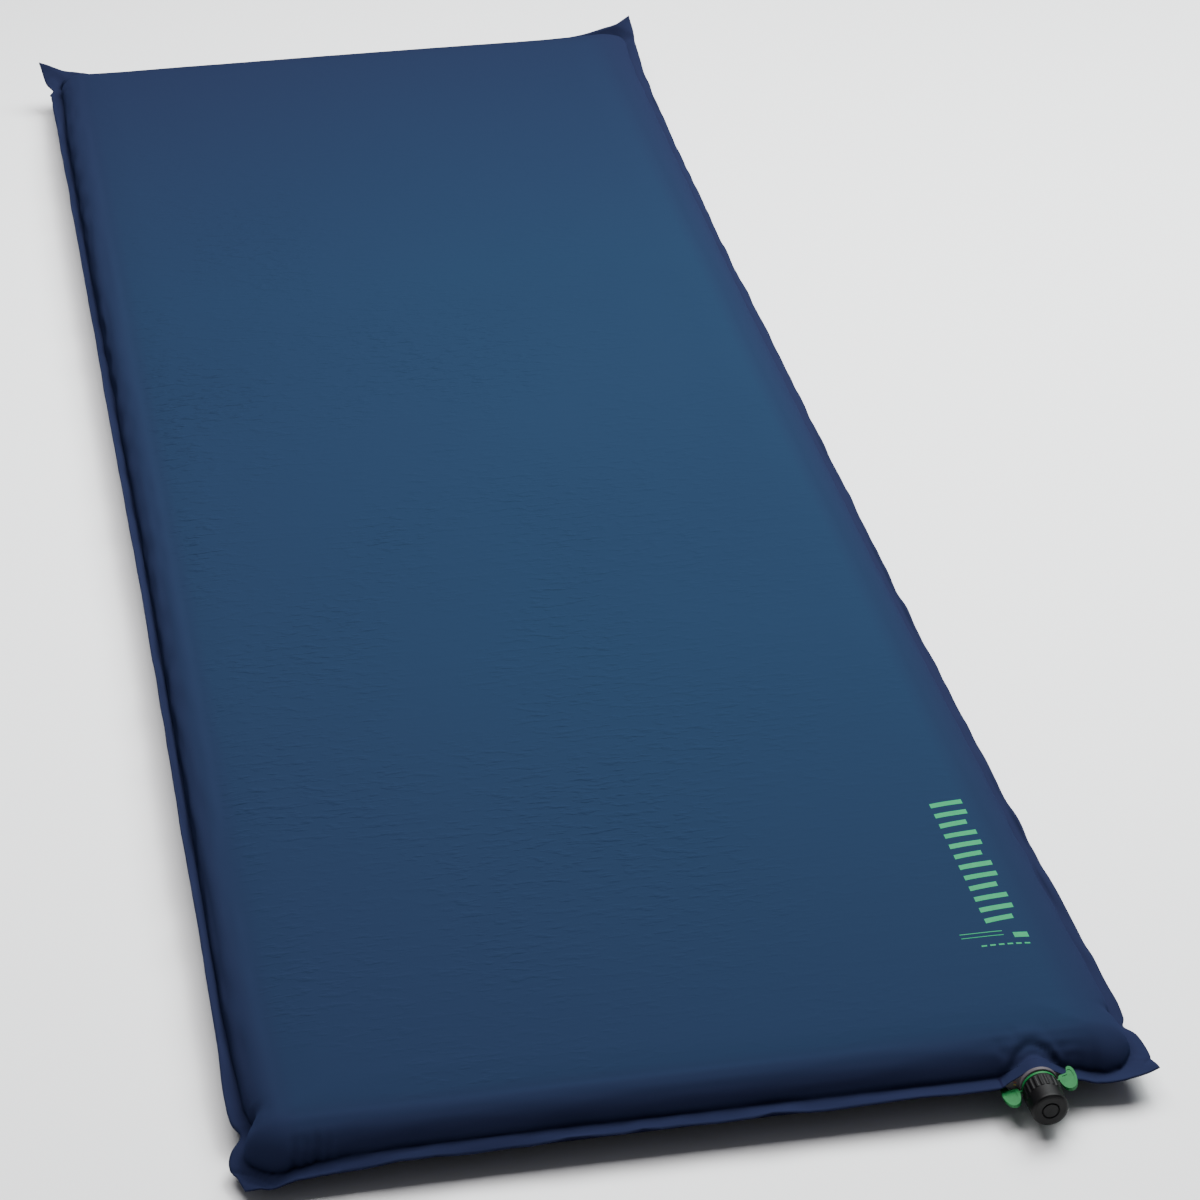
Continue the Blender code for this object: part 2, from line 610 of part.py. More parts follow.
def main():
    clear_scene()
    top_cloth = material("top_fabric", (0.023, 0.070, 0.140), 0.62)
    bottom_cloth = material("bottom_fabric", (0.016, 0.024, 0.055), 0.66)
    foam = material("foam", (0.75, 0.72, 0.55), 0.95)
    grey = material("boot_grey", (0.16, 0.15, 0.17), 0.55)
    black = material("valve_black", (0.016, 0.016, 0.018), 0.42)
    green = material("toggle_green", (0.03, 0.30, 0.09), 0.40)
    seal = material("seal_rubber", (0.02, 0.02, 0.02), 0.75)
    silicone = material("silicone", (0.55, 0.55, 0.52), 0.50)
    white = material("inner_plastic", (0.60, 0.60, 0.58), 0.45)
    steel = material("pin_steel", (0.60, 0.60, 0.60), 0.30, 1.0)

    fabric_sheet("top_fabric", 1, top_cloth)
    fabric_sheet("bottom_fabric", -1, bottom_cloth)
    foam_core(foam)

    axis = bpy.data.objects.new("valve_axis", None)
    bpy.context.scene.collection.objects.link(axis)
    axis.location = (VALVE_X, VALVE_Y, SEAM_HEIGHT)
    axis.rotation_euler = (math.pi / 2, 0, 0)

    valve_boot(axis, grey)
    valve_stem(axis, black)
    stem_lock_ring(axis, white)
    wing_toggle(axis, green)
    lifter(axis, white)
    flapper(axis, white)
    flapper_pad(axis, silicone)
    pin = rod(PIN, (-PIN_HALF_LENGTH, PIN_Y, PIN_Z), (PIN_HALF_LENGTH, PIN_Y, PIN_Z))
    add_object("flapper_pin", pin, steel, axis)
    valve_cap(axis, black)
    seated = O_RING - GROOVE_PLAY  # from a groove's shoulder radius in to the ring's cord centre
    o_ring("toggle_inner_seal", axis, seal, STEM_LOWER - seated, STEM_SEAL_Z)
    o_ring("toggle_outer_seal", axis, seal, SLEEVE - seated, TOGGLE_SEAL_Z)
    o_ring("lock_ring_seal", axis, seal, LOCK_OUTER - seated, LOCK_SEAL_Z)
    o_ring("plug_seal", axis, seal, PLUG - seated, PLUG_SEAL_Z)
    o_ring("cap_seal", axis, seal, STEM_UPPER + CAP_SEAL + GAP / 2, SEAL_Z, CAP_SEAL)


main()
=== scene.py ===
import json
import math

import bmesh
import bpy
import numpy as np
from mathutils import Matrix, Vector
from mathutils.bvhtree import BVHTree


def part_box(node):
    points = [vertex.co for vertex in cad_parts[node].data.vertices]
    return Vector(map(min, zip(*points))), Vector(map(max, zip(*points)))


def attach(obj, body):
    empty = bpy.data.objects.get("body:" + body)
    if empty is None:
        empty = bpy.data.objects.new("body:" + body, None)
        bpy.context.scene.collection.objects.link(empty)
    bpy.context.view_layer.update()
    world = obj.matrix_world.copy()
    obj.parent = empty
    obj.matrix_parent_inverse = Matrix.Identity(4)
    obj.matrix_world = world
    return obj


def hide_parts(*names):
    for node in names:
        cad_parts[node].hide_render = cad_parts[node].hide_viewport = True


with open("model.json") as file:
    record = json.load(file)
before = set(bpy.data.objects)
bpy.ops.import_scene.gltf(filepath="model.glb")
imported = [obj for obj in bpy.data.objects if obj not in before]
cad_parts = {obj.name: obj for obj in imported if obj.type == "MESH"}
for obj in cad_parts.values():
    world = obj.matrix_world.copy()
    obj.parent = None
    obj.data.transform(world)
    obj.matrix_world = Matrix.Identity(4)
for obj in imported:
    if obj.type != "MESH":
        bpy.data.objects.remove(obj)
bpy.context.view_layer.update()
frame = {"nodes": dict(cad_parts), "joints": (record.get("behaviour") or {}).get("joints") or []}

# Places and sizes, in metres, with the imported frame's own where it has them
foam_low, foam_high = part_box("foam_core")
boot_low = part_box("valve_boot")[0]
joints = {joint["name"]: joint for joint in frame["joints"]}
VALVE_X, _, SEAM_Z = joints["cap_turn"]["pos_m"]
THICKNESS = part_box("top_fabric")[1].z
RIM_BACK = boot_low.y + 0.003  # inner side of the boot's rim

# Flat pattern of the two sheets, in cells counted in from the border's edge
CELL = 0.00423
BORDER_CELLS = 3
WALL_CELLS = 9
BONDED_CELLS = 2
FINE_CELLS = 20  # the simulated grid's lines are one cell apart over this many cells from each edge
RING_CELLS = BORDER_CELLS + WALL_CELLS + BONDED_CELLS
BORDER = BORDER_CELLS * CELL
REACH = (BORDER_CELLS + WALL_CELLS) * CELL
BOND_X = foam_high.x + 0.001  # the sheets lie over the foam out to here, and then the wall starts
BOND_Y = foam_high.y + 0.001
STEP_ACROSS = 0.0130  # between lines over the middle of the pad
STEP_ALONG = 0.0080
AROUND_VALVE = 22  # gaps between the lines across the boot
WALL_RUN = 0.0235  # horizontal run of the wall's curve
FALL = 0.0030  # the flat top and bottom fall away this much towards the foam's edge ...
FALL_RUN = 0.035  # ... over this distance
FALL_SLOPE = 0.17
CORNER = 0.051  # the flat pattern's lines of equal inset turn each corner from this far in
SHEET = 0.00045  # thickness of the cloth as drawn
NECK = 0.0130  # half thickness of the two sheets over the boot, which is this arch ...
BOAT_HALF_WIDTH = 0.0250  # ... with a straight taper out to here
BOAT_DEPTH = 0.022
EDGE_CUT = (0.021, 0.029)  # the border is trimmed this close to the valve, and whole this far away
TRIM_GAP = 0.0006  # from the rim's inner side to the trimmed edge

# Cloth simulation
PRESSURE = 5.0
MASS = 0.01
SETTLE_FRAMES = 40
MOST_MOVE = 0.012  # of any point
SLACK = 0.0006  # the border is cut this much long and short by turns, so that it ruffles

# Border and top, as shaped after the simulation
LEFT_BEND, RIGHT_BEND, ALL_BEND = 45, -11, -2  # degrees that the border turns up by, the last one all round
CORNER_BOW = 0.0015  # how far the left side stands out at its corners
EAR_REACH = 0.033  # past the weld's inner line, where an ear's tip is
LEAST_LIFT = 0.0014  # of the border above the floor
LONG_RUFFLE, SHORT_RUFFLE = 0.0013, 0.0004  # heights of the border's long and short waves
DENT = (0.0175, 0.0016)  # behind the boot: distance from the valve's axis, and half width
RIDGE = (0.0215, 0.0022)
SPOKES = (0.0275, 0.0065)
DENT_DEPTH, SPOKE_DEPTH = 0.0017, 0.0008
RIPPLE = 0.00007  # height of the top's short waves
SWELL = 0.0002  # height of its long ones
PLY_GAP = 0.00008  # from the weld's middle to each sheet

# Foam
NOTCH_HALF_WIDTH = 0.0205
NOTCH_DEPTH = 0.020
EASE, EASE_RUN = 0.004, 0.006  # the edges are eased by this much, over this distance

# Printed marks and ticks
PRINT = 0.00012  # half thickness
PRINT_STEP = 0.006  # between a mark's points, so that it follows the sheet
TICK_X = VALVE_X - 0.0168
TICK_Z = SEAM_Z + 0.0006
TICK_PITCH = 0.0022
TICK_HALF_LENGTH, TICK_HALF_HEIGHT = 0.0010, 0.0004
TICK_SLOPE = -0.3

# Studio
FLOOR_HALF = 9
FLOOR_DROP = 0.0005
WORLD_LIGHT = 0.14
KEY_POWER = 130
TOP_POWER = 165
CAMERA_DISTANCE = 3.383


def waves(along, seed, shortest, longest, count=8):
    """A smooth random curve: a sum of sines with wavelengths between two lengths, about 1 high."""
    random = np.random.default_rng(seed)
    total = np.zeros_like(along, dtype=float)
    for _ in range(count):
        length = shortest * (longest / shortest) ** random.random()
        total += np.sin(math.tau * (along / length + random.random())) * random.uniform(0.5, 1.0)
    return total / math.sqrt(count)


def smooth(share):
    """The share held between 0 and 1, with an eased start and end."""
    share = np.clip(share, 0, 1)
    return share * share * (3 - 2 * share)


def ramp(value, start, run):
    """0 up to the start, and smoothly up to 1 over the run."""
    return smooth((value - start) / run)


def bell(value, middle, reach):
    """1 at the middle, falling away smoothly over the reach on both sides."""
    return np.exp(-((value - middle) / reach) ** 2)


def grid_lines(bond, step, around=None):
    """Places of one direction's grid lines on the flat pattern, closer round one place if given."""
    edge = -(bond + REACH) + CELL * np.arange(FINE_CELLS + 1)
    middle = np.linspace(edge[-1], -edge[-1], round(-2 * edge[-1] / step) + 1)[1:-1]
    lines = np.concatenate([edge, middle, -edge[::-1]])
    if around is not None:
        near = 1.1 * BOAT_HALF_WIDTH
        clear = np.abs(lines - around) > near + 0.5 * CELL
        lines = np.sort(np.concatenate([lines[clear], around + near * np.linspace(-1, 1, AROUND_VALVE + 1)]))
    return lines


def boat_height(offset):
    """Half thickness over the boot: an arch with a straight taper each side."""
    offset = np.abs(offset)
    tangent = NECK * NECK / BOAT_HALF_WIDTH
    top = math.sqrt(NECK * NECK - tangent * tangent)
    arch = np.sqrt(np.maximum(NECK * NECK - offset * offset, 0))
    taper = top * (BOAT_HALF_WIDTH - offset) / (BOAT_HALF_WIDTH - tangent)
    return np.where(offset < tangent, arch, np.maximum(taper, 0))


def fallen(inward):
    """How far the flat part has fallen this far in from the foam's edge."""
    return FALL * np.clip(1 - inward / FALL_RUN, 0, 1) ** 2


def wall_place(inward):
    """(how far outside the foam's edge, how high above the seam) a point this far in from the edge is."""
    top = math.pi / 2 - FALL_SLOPE
    turn = np.clip((inward - BORDER) / (WALL_CELLS * CELL), 0, 1) * top
    out = WALL_RUN * (np.cos(turn) - math.cos(top)) / (1 - math.cos(top)) + np.maximum(BORDER - inward, 0)
    wall = (SEAM_Z - FALL) * np.sin(turn) / math.sin(top)
    rise = np.where(inward > REACH, SEAM_Z - fallen(inward - REACH), wall)
    return np.where(inward > REACH, REACH - inward, out), rise


class Pattern:
    """The flat pattern's grid, and which of its points are welded, bonded to the foam or over the boot."""

    def __init__(self, across, along):
        self.u, self.v = np.meshgrid(across, along, indexing="ij")
        columns, rows = self.u.shape
        column, row = np.meshgrid(np.arange(columns), np.arange(rows), indexing="ij")
        self.depth = np.minimum(
            np.minimum(column, columns - 1 - column), np.minimum(row, rows - 1 - row)
        )
        self.in_x = BOND_X + REACH - np.abs(self.u)
        self.in_y = BOND_Y + REACH - np.abs(self.v)
        self.turn_x = CORNER - self.in_x
        self.turn_y = CORNER - self.in_y
        self.cornered = (self.turn_x > 0) & (self.turn_y > 0)
        self.turn = np.maximum(np.hypot(self.turn_x, self.turn_y), 1e-9)
        nearest = np.minimum(self.in_x, self.in_y)
        self.inset = np.where(self.cornered, CORNER - self.turn, nearest)
        self.outside = BORDER - self.inset  # distance out past the weld's inner line
        self.boot_side = (self.v < 0) & (np.abs(self.u - VALVE_X) < BOAT_HALF_WIDTH)
        self.over_boot = self.boot_side & (self.in_y < BOAT_DEPTH)
        self.welded = (self.outside > -0.1 * CELL) & ~self.over_boot
        self.bonded = self.inset > REACH - 0.1 * CELL
        self.in_ring = self.depth <= RING_CELLS
        by_x = self.in_x < self.in_y
        self.side_x = np.where(self.cornered, self.turn_x / self.turn, by_x) * np.sign(self.u)
        self.side_y = np.where(self.cornered, self.turn_y / self.turn, ~by_x) * np.sign(self.v)
        # Distance along the weld from the corner's diagonal: below 0 on a long side, above 0 on an end
        weld = CORNER - BORDER
        angle = np.clip(np.arctan2(self.turn_y, self.turn_x), 0, math.pi / 2) - math.pi / 4
        straight = np.where(by_x, np.minimum(self.turn_y, 0), -np.minimum(self.turn_x, 0))
        straight = np.where(by_x, -1, 1) * weld * math.pi / 4 + straight
        self.turned = np.where(self.cornered, angle * weld, straight)

    def first_shape(self):
        """Both sheets before the pressure shapes them: a quarter-ellipse wall all round."""
        out, rise = wall_place(self.inset)
        reach = CORNER - REACH + out  # from the middle of a corner's turn, or its line along a side
        by_x = (self.in_x < self.in_y) & ~self.cornered
        by_y = (self.in_x >= self.in_y) & ~self.cornered
        across = np.where(self.cornered, reach * self.turn_x / self.turn, np.where(by_x, reach, self.turn_x))
        along = np.where(self.cornered, reach * self.turn_y / self.turn, np.where(by_y, reach, self.turn_y))
        x = np.sign(self.u) * (BOND_X + REACH - CORNER + across)
        y = np.sign(self.v) * (BOND_Y + REACH - CORNER + along)
        rise = np.where(self.welded, 0, rise)
        arch = np.where(self.boot_side & (self.in_y < REACH), boat_height(self.u - VALVE_X), 0)
        rise = np.maximum(rise, arch)
        cut, clear = EDGE_CUT
        share = smooth((clear - np.abs(self.u - VALVE_X)) / (clear - cut)) * (self.v < 0)
        y = np.maximum(y, np.where(share > 0, y + share * (RIM_BACK + TRIM_GAP - y), y))
        return np.stack([x, y, SEAM_Z + rise], -1), np.stack([x, y, SEAM_Z - rise], -1)


def quads_of(ids, used, upwards):
    """Quads of a grid of vertex numbers, where all four corners are used."""
    a, b, c, d = ids[:-1, :-1], ids[1:, :-1], ids[1:, 1:], ids[:-1, 1:]
    keep = used[:-1, :-1] & used[1:, :-1] & used[1:, 1:] & used[:-1, 1:]
    corners = (a, b, c, d) if upwards else (d, c, b, a)
    return np.stack([corner[keep] for corner in corners], -1)


def settle_cloth(places, flat, quads, held, blown):
    """Run the cloth simulation and return the vertices' settled places."""
    mesh = bpy.data.meshes.new("sheets")
    mesh.from_pydata(places.tolist(), [], quads.tolist())
    sheets = bpy.data.objects.new("sheets", mesh)
    bpy.context.scene.collection.objects.link(sheets)
    sheets.shape_key_add(name="swollen", from_mix=False)
    key = sheets.shape_key_add(name="flat", from_mix=False)
    key.data.foreach_set("co", flat.astype(np.float32).ravel())
    sheets.active_shape_key_index = 0
    sheets.vertex_groups.new(name="held").add(held.tolist(), 1.0, "REPLACE")
    sheets.vertex_groups.new(name="blown").add(blown.tolist(), 1.0, "REPLACE")
    cloth = sheets.modifiers.new("cloth", "CLOTH")
    settings = cloth.settings
    settings.quality = 6
    settings.mass = MASS
    settings.tension_stiffness = 30
    settings.compression_stiffness = 30
    settings.shear_stiffness = 6
    settings.bending_stiffness = 0.02
    settings.tension_damping = 8
    settings.compression_damping = 8
    settings.shear_damping = 8
    settings.air_damping = 3
    settings.vertex_group_mass = "held"
    settings.use_pressure = True
    settings.uniform_pressure_force = PRESSURE
    settings.vertex_group_pressure = "blown"
    settings.rest_shape_key = key
    settings.effector_weights.gravity = 0
    cloth.collision_settings.use_collision = False
    cloth.collision_settings.use_self_collision = False
    scene = bpy.context.scene
    for step in range(1, SETTLE_FRAMES + 1):
        scene.frame_set(step)
    settled = sheets.evaluated_get(bpy.context.evaluated_depsgraph_get()).to_mesh()
    found = np.zeros(len(settled.vertices) * 3, np.float32)
    settled.vertices.foreach_get("co", found)
    scene.frame_set(1)
    bpy.data.objects.remove(sheets)
    moved = found.reshape(-1, 3) - places
    length = np.maximum(np.linalg.norm(moved, axis=1, keepdims=True), 1e-9)
    return places + moved * np.minimum(1, MOST_MOVE / length)


def swollen_sheets(pattern):
    """Both sheets' grids of points: welded round the edge, bonded to the foam, and swollen between."""
    top, bottom = pattern.first_shape()
    ring, alone = pattern.in_ring, pattern.in_ring & ~pattern.welded
    top_id = np.zeros(ring.shape, int)
    top_id[ring] = np.arange(ring.sum())
    bottom_id = top_id.copy()
    bottom_id[alone] = ring.sum() + np.arange(alone.sum())
    places = np.concatenate([top[ring], bottom[alone]])
    slack = SLACK * smooth(pattern.outside / BORDER + 0.5)
    flat_x = pattern.u + slack * waves(pattern.u, seed=11, shortest=0.05, longest=0.11)
    flat_y = pattern.v + slack * waves(pattern.v, seed=12, shortest=0.06, longest=0.13)
    flat = np.stack([flat_x, flat_y, 0 * flat_x], -1)
    rest = np.concatenate([flat[ring], flat[alone]])
    quads = quads_of(top_id, ring, True)
    below = quads_of(bottom_id, ring, False)
    below = below[(below >= ring.sum()).any(axis=1)]
    fixed = ring & (pattern.bonded | pattern.over_boot)
    held = np.unique(np.concatenate([top_id[fixed], bottom_id[fixed]]))
    blown = np.unique(np.concatenate([top_id[alone], bottom_id[alone]]))
    found = settle_cloth(places, rest, np.concatenate([quads, below]), held, blown)
    # The ears' loose tips keep their first shape, as the free corners curl up otherwise
    tip = ramp(pattern.outside, start=1.3 * BORDER, run=BORDER)[..., None]
    settled = []
    for sheet, ids in ((top, top_id), (bottom, bottom_id)):
        moved = sheet.copy()
        moved[ring] = found[ids[ring]]
        settled.append(tip * sheet + (1 - tip) * moved)
    return settled


def normals_of(sheet):
    """Upward unit normals of a grid of points."""
    across = np.gradient(sheet, axis=0)
    along = np.gradient(sheet, axis=1)
    normals = np.cross(across, along)
    return normals / np.maximum(np.linalg.norm(normals, axis=-1, keepdims=True), 1e-12)


def halved(values):
    """The values with one more between each two along the second axis, on a smooth curve."""
    middle = (values[:, :-1] + values[:, 1:]) / 2
    middle[:, 1:-1] += (values[:, 1:-2] + values[:, 2:-1] - values[:, :-3] - values[:, 3:]) / 16
    full = np.empty((values.shape[0], 2 * values.shape[1] - 1, *values.shape[2:]))
    full[:, ::2] = values
    full[:, 1::2] = middle
    return full


# Shape added to the settled cloth: the border's ruffle, the corner ears, creases and ripples.
# For each corner, in millimetres and degrees. Every place is a distance along the weld from the corner's
# diagonal, below 0 on the long side and above 0 on the end. "bends" are (place, reach, angle the border
# turns up by), "pinches" are (place, reach, how far the weld is drawn in), "sink" is (how far the seam
# drops, reach), "bulge" is how far the wall swells, "tip" is how far the ear's tip is pulled (x, y), and
# "blunt" is the share by which the ear is shortened
CORNERS = {
    (-1, -1): {
        "bends": ((-2, 22, -6), (60, 40, 6)),
        "pinches": (
            (-50, 9, 7.0), (-24, 15, -4.0), (33, 2.6, 2.4), (41, 2.4, 1.6), (48, 3.0, 2.8),
            (56, 2.4, 1.4), (65, 3.2, 1.9), (78, 3.6, 1.0), (-64, 3.8, 1.4),
        ),
        "sink": (10, 55), "bulge": 5, "tip": (0, 0), "blunt": 0.62,
    },
    (1, -1): {
        "bends": ((0, 24, 12), (-13, 9, 7), (-30, 16, 9), (-66, 16, -10)),
        "pinches": (
            (-54, 7, 5.0), (-26, 14, -1.5), (20, 16, -3.5), (30, 2.8, 1.6), (39, 3.0, 2.4),
            (-68, 3.6, 1.2),
        ),
        "sink": (6, 50), "bulge": 1, "tip": (-1, -3), "blunt": 0.22,
    },
    (1, 1): {
        "bends": ((6, 30, 46), (48, 36, 52), (-40, 24, 12)),
        "pinches": ((-22, 8, 1.0), (22, 12, -2.0), (40, 4, 0.6), (-66, 4, 0.6)),
        "sink": (-6, 60), "bulge": 4, "tip": (3, 3), "blunt": 0.15,
    },
    (-1, 1): {
        "bends": ((2, 20, 50), (34, 24, 34)),
        "pinches": ((-22, 6, 5.5), (-4, 9, -3.0), (24, 9, -1.0), (-46, 5, 0.5)),
        "sink": (-3, 50), "bulge": 4, "tip": (13, 0), "blunt": 0.1,
    },
}


def bow(y):
    """How much farther out the long sides stand along the pad (left side, right side)."""
    left_most, left_dip, left_waist, left_reach = 0.0070, 0.0020, -0.1, 0.7
    left = left_most - left_dip * smooth(1 - np.abs(y - left_waist) / left_reach)
    right_least, right_waist = 0.0045, -0.3
    near_rise, near_reach, far_rise, far_reach = 0.0070, 0.62, 0.0095, 1.2
    past = y - right_waist
    right = np.where(past < 0, near_rise * (past / near_reach) ** 2, far_rise * (past / far_reach) ** 2)
    return left, right + right_least


def shape_border(pattern, sheet):
    """Bow the long sides, bend and ruffle the welded border, and pinch the cloth round each corner."""
    x, y, z = sheet[..., 0], sheet[..., 1], sheet[..., 2]
    left, right = bow(pattern.v)
    past_corner = ramp(pattern.in_y, start=0.05, run=0.15)
    left = CORNER_BOW + (left - CORNER_BOW) * past_corner
    x += np.where(pattern.u < 0, -left, right) * ramp(np.abs(pattern.u), start=0.262, run=0.045)
    beyond = np.maximum(pattern.outside, 0) * ~pattern.over_boot
    from_valve = np.abs(pattern.u - VALVE_X)
    near_valve = (pattern.v < 0) & (pattern.in_y < 0.12)
    # The boot holds the cloth round it, and it is free farther out
    free = np.where(near_valve, ramp(from_valve, start=BOAT_HALF_WIDTH, run=0.014), 1)
    long_side = ramp(pattern.in_y - pattern.in_x, start=0, run=0.03)
    bend = np.where(pattern.u < 0, LEFT_BEND * past_corner, RIGHT_BEND) * long_side + ALL_BEND
    up_wall = 1 - (pattern.inset - BORDER) / (REACH - BORDER)
    wall = np.where(pattern.outside > 0, 1, smooth(up_wall)) * (up_wall > 0)
    drawn = np.zeros_like(x)
    place_here = pattern.turned * 1000  # in millimetres, as in CORNERS
    for (sign_x, sign_y), shape in CORNERS.items():
        here = (np.sign(pattern.u) == sign_x) & (np.sign(pattern.v) == sign_y)
        for place, reach, angle in shape["bends"]:
            bend = bend + here * angle * bell(place_here, place, reach)
        for place, reach, depth in shape["pinches"]:
            part = depth / 1000 * bell(place_here, place, reach)
            if reach <= 4:  # a narrow pucker draws the wall in more than the border
                part = part * (1 - 0.8 * np.clip(pattern.outside / BORDER, 0, 1))
            drawn += here * part
        tip = np.clip(pattern.outside / EAR_REACH, 0, 1) ** 2 * here * pattern.cornered
        x += sign_x * shape["tip"][0] / 1000 * tip
        y += sign_y * shape["tip"][1] / 1000 * tip
        drop, reach = shape["sink"]
        near = here * bell(place_here, 0, reach) * free
        z -= drop / 1000 * near * wall
        swell = shape["bulge"] / 1000 * near * np.sin(math.pi * np.clip(up_wall, 0, 1))
        swell = swell - shape["blunt"] * here * np.maximum(pattern.outside - BORDER, 0)
        x += swell * pattern.side_x
        y += swell * pattern.side_y
    drawn = drawn * wall * free
    x -= drawn * pattern.side_x
    y -= drawn * pattern.side_y
    bend = np.radians(bend)
    x += beyond * (np.cos(bend) - 1) * pattern.side_x
    y += beyond * (np.cos(bend) - 1) * pattern.side_y
    z += beyond * np.sin(bend)
    along_side = np.where(pattern.in_x < pattern.in_y, pattern.v, pattern.u + 3 * np.sign(pattern.v))
    ruffle = LONG_RUFFLE * waves(along_side, seed=21, shortest=0.045, longest=0.110)
    ruffle = ruffle + SHORT_RUFFLE * waves(along_side, seed=22, shortest=0.026, longest=0.040)
    # The ruffle fades out beside the valve and at the corners, and grows outwards
    ruffle = ruffle * np.where(pattern.v < 0, ramp(from_valve, start=0.024, run=0.02), 1)
    ruffle = ruffle * ramp(np.abs(pattern.turned), start=0, run=0.036)
    z += ruffle * np.minimum(beyond / BORDER, 1.3) ** 1.4
    np.maximum(z, LEAST_LIFT, out=z, where=pattern.outside > 0)


def shape_top(pattern, sheet):
    """Creases round the boot, and long soft ripples across the top."""
    from_axis = np.hypot(pattern.u - VALVE_X, sheet[..., 2] - SEAM_Z)
    # Only a band behind the boot is creased, from 16 to 58 mm in from the edge
    behind = (pattern.v < 0) * ramp(pattern.in_y, start=0.016, run=0.008)
    behind = behind * smooth((0.058 - pattern.in_y) / 0.010)
    crease = bell(from_axis, *DENT) - 0.5 * bell(from_axis, *RIDGE)
    around = np.arctan2(sheet[..., 2] - SEAM_Z, pattern.u - VALVE_X)
    spokes = np.maximum(np.sin(13 * around + 0.6), 0) * bell(from_axis, *SPOKES)
    depth = DENT_DEPTH * crease + SPOKE_DEPTH * spokes * np.where(pattern.u < VALVE_X, 1.0, 0.6)
    sheet -= (depth * behind)[..., None] * normals_of(sheet)
    inset = np.minimum(pattern.in_x, pattern.in_y) - REACH
    inside = smooth(inset / 0.03 + 0.3)
    across, along = pattern.u, pattern.v
    ripple = np.zeros_like(across)
    random = np.random.default_rng(31)
    for _ in range(26):
        length = 0.016 * 2.2 ** random.random()  # 16 to 35 mm
        lean = random.normal(0, 0.10)
        phase = math.tau * random.random(3)
        patch = np.sin(across * random.uniform(9, 30) + phase[0])
        patch = patch * np.sin(along * random.uniform(5, 16) + phase[1])
        ripple += np.maximum(patch, 0) ** 2 * np.sin(math.tau * (along + lean * across) / length + phase[2])
    sheet[..., 2] += RIPPLE * ripple * inside
    swell = waves(across + 0.4 * along, seed=33, shortest=0.25, longest=0.6)
    swell = swell + waves(along - 0.3 * across, seed=34, shortest=0.3, longest=0.7)
    sheet[..., 2] += SWELL * swell * inside


def sheet_object(name, sheet, pattern, upwards, material):
    """A sheet as a thin closed body, with its flat pattern as its UV map."""
    columns, rows = pattern.u.shape
    ids = np.arange(columns * rows).reshape(columns, rows)
    quads = quads_of(ids, np.ones_like(ids, bool), upwards)
    mesh = bpy.data.meshes.new(name)
    mesh.from_pydata(sheet.reshape(-1, 3).tolist(), [], quads.tolist())
    layer = mesh.uv_layers.new(name="flat_pattern")
    flat = np.stack([pattern.u, pattern.v], -1).reshape(-1, 2)[quads.ravel()]
    layer.data.foreach_set("uv", flat.astype(np.float32).ravel())
    mesh.shade_smooth()
    mesh.materials.append(material)
    piece = bpy.data.objects.new(name, mesh)
    bpy.context.scene.collection.objects.link(piece)
    thick = piece.modifiers.new("cloth thickness", "SOLIDIFY")
    thick.thickness = SHEET
    thick.offset = -1
    return piece


# Materials


class Nodes:
    """Short calls for building a material's node tree."""

    def __init__(self, name):
        self.material = bpy.data.materials.new(name)
        self.material.use_nodes = True
        self.tree = self.material.node_tree
        self.shader = self.tree.nodes["Principled BSDF"]

    def add(self, kind, inputs=(), **settings):
        node = self.tree.nodes.new(kind)
        for key, value in settings.items():
            setattr(node, key, value)
        for socket, value in dict(inputs).items():
            self.put(node.inputs[socket], value)
        return node

    def put(self, socket, value):
        if isinstance(value, bpy.types.NodeSocket):
            self.tree.links.new(value, socket)
        else:
            socket.default_value = value

    def math(self, operation, *values):
        return self.add("ShaderNodeMath", enumerate(values), operation=operation).outputs[0]

    def place(self, scale=(1, 1, 1), uv=False):
        """Object coordinates, or the flat pattern's, in metres and then scaled."""
        if uv:
            source = self.add("ShaderNodeUVMap", uv_map="flat_pattern").outputs["UV"]
        else:
            source = self.add("ShaderNodeTexCoord").outputs["Object"]
        return self.add("ShaderNodeMapping", {"Vector": source, "Scale": scale}).outputs[0]

    def noise(self, place, scale, detail=3, roughness=0.5):
        inputs = {"Vector": place, "Scale": scale, "Detail": detail, "Roughness": roughness}
        return self.add("ShaderNodeTexNoise", inputs).outputs["Fac"]

    def spread(self, value, low, high, start=0.3, end=0.7):
        """Map a texture's middle range to a range of values."""
        inputs = {"Value": value, "From Min": start, "From Max": end, "To Min": low, "To Max": high}
        return self.add("ShaderNodeMapRange", inputs).outputs["Result"]

    def blend(self, share, first, second):
        node = self.add("ShaderNodeMix", data_type="RGBA")
        self.put(node.inputs[0], share)
        self.put(node.inputs[6], first if isinstance(first, bpy.types.NodeSocket) else (*first, 1))
        self.put(node.inputs[7], second if isinstance(second, bpy.types.NodeSocket) else (*second, 1))
        return node.outputs[2]

    def bump(self, height, strength, distance, before=None):
        node = self.add("ShaderNodeBump", {"Height": height, "Strength": strength, "Distance": distance})
        if before is not None:
            self.put(node.inputs["Normal"], before)
        return node.outputs["Normal"]

    def set(self, **sockets):
        """Set the shader's sockets, each named in lower case with underscores."""
        named = {socket.name.lower().replace(" ", "_"): socket for socket in self.shader.inputs}
        for key, value in sockets.items():
            self.put(named[key], value)


